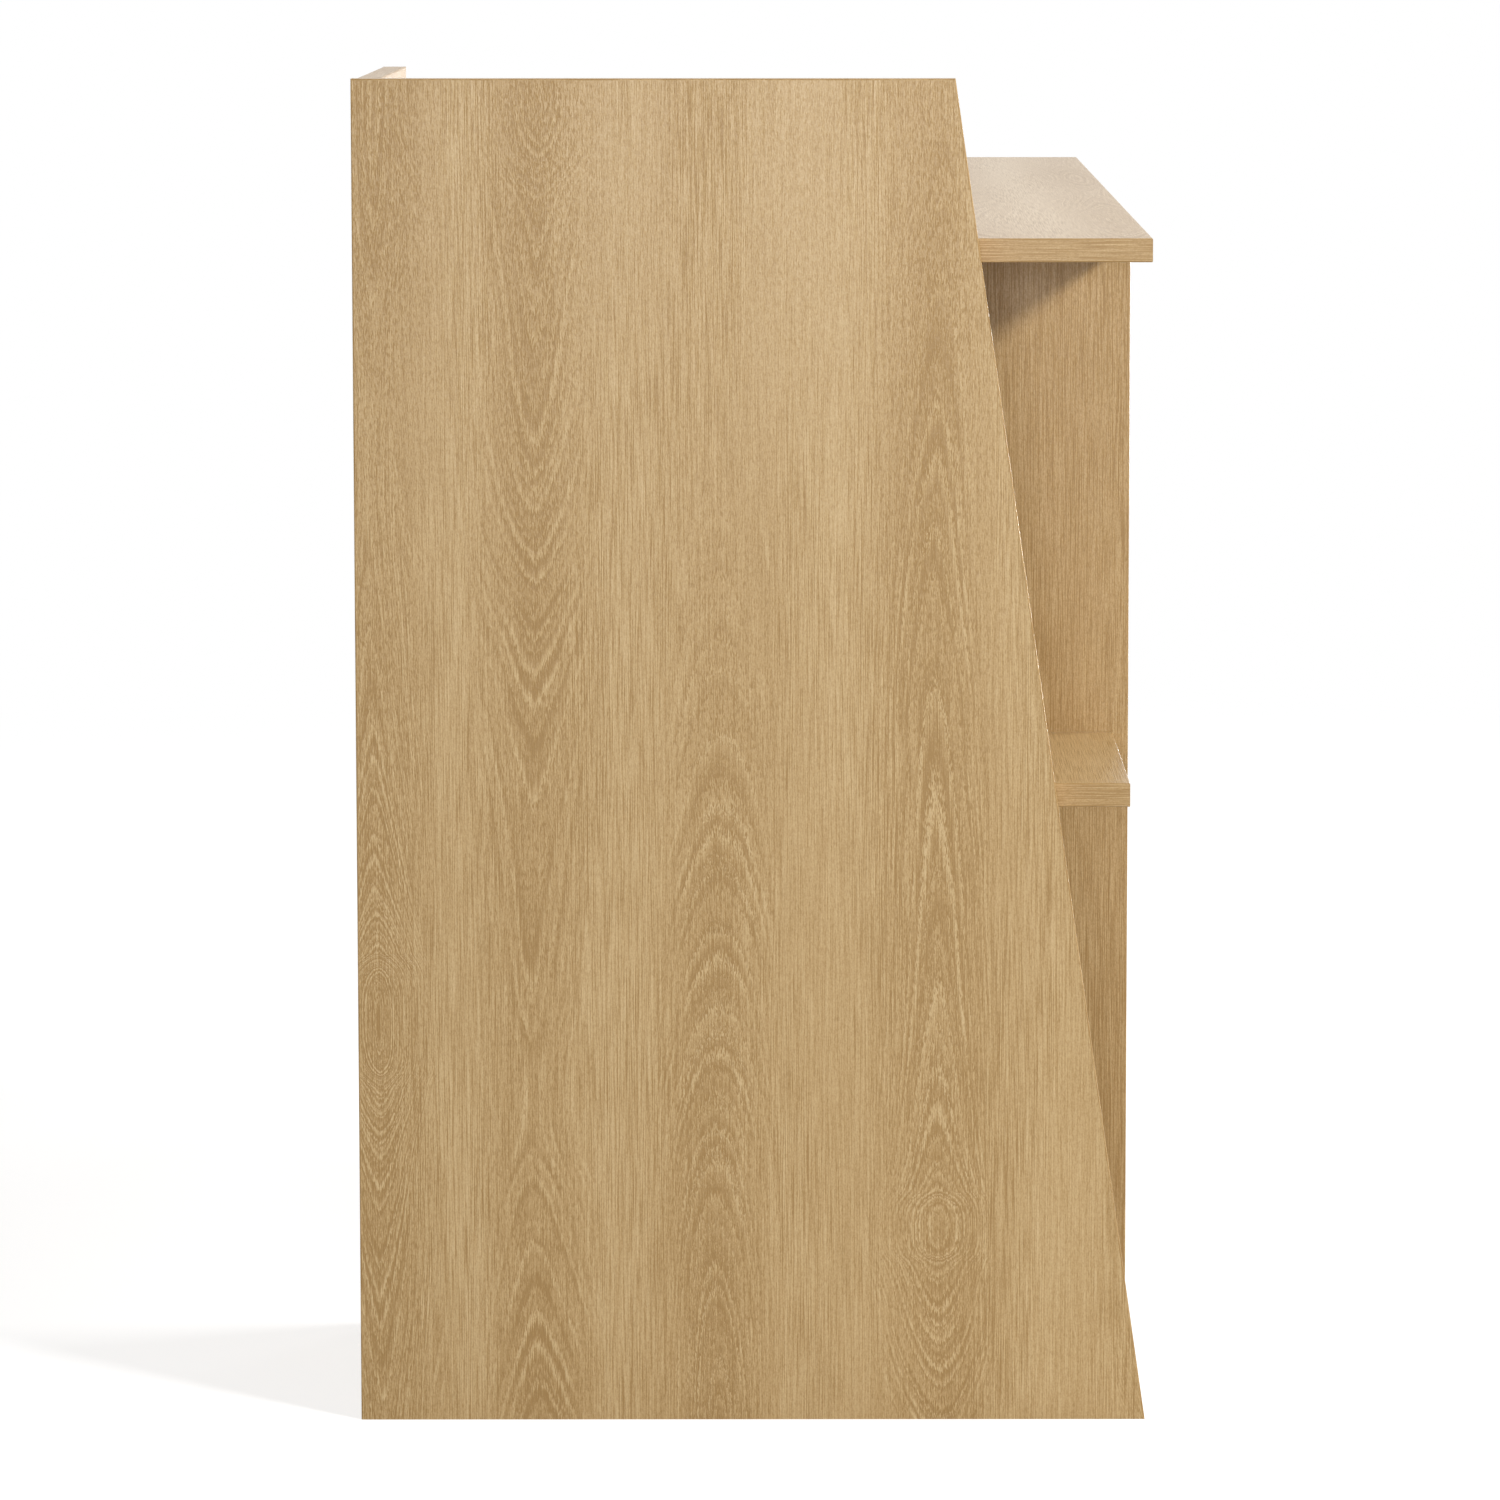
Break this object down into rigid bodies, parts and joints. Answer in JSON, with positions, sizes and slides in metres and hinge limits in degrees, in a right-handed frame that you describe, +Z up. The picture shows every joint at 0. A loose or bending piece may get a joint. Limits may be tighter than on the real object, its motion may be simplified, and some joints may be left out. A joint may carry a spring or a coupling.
{
  "type": "study desk",
  "caption": "Oak-effect board study desk: a worktop over an open book tower with a leaning side panel at one end and a leaning end panel at the other.",
  "frame": {"origin": "on the floor, in the middle of the desk's outline", "axes": "+X along the desk from the book tower to the other end, +Y from front to back, +Z up"},
  "size_m": [1.2, 0.5, 0.85],
  "materials": {
    "oak_board": "oak-effect melamine on chipboard, satin",
    "oak_edging": "oak-effect edging, satin",
    "beech_dowel": "plain turned beech",
    "zinc_steel": "zinc plated",
    "zinc_casting": "die-cast zinc",
    "cap_plastic": "moulded, matt"
  },
  "bodies": {
    "root": {"back_panel": "oak_board", "back_panel_cam_bolts": "zinc_steel", "back_panel_cam_locks": "zinc_casting", "back_panel_dowels": "beech_dowel", "back_panel_edging": "oak_edging", "bottom_shelf": "oak_board", "bottom_shelf_cam_bolts": "zinc_steel", "bottom_shelf_cam_locks": "zinc_casting", "bottom_shelf_dowels": "beech_dowel", "bottom_shelf_edging": "oak_edging", "desktop": "oak_board", "desktop_cam_bolts": "zinc_steel", "desktop_cam_locks": "zinc_casting", "desktop_dowels": "beech_dowel", "desktop_edging": "oak_edging", "end_panel": "oak_board", "end_panel_cam_bolts": "zinc_steel", "end_panel_cam_locks": "zinc_casting", "end_panel_cover_caps": "cap_plastic", "end_panel_dowels": "beech_dowel", "end_panel_edging": "oak_edging", "mid_shelf": "oak_board", "mid_shelf_cam_bolts": "zinc_steel", "mid_shelf_cam_locks": "zinc_casting", "mid_shelf_dowels": "beech_dowel", "mid_shelf_edging": "oak_edging", "modesty_panel": "oak_board", "modesty_panel_cam_bolts": "zinc_steel", "modesty_panel_cam_locks": "zinc_casting", "modesty_panel_dowels": "beech_dowel", "modesty_panel_edging": "oak_edging", "partition_edging": "oak_edging", "partition_panel": "oak_board", "partition_panel_cam_bolts": "zinc_steel", "partition_panel_cam_locks": "zinc_casting", "partition_panel_cover_caps": "cap_plastic", "partition_panel_dowels": "beech_dowel", "plinth": "oak_board", "plinth_dowels": "beech_dowel", "side_panel": "oak_board", "side_panel_edging": "oak_edging"}
  },
  "joints": []
}
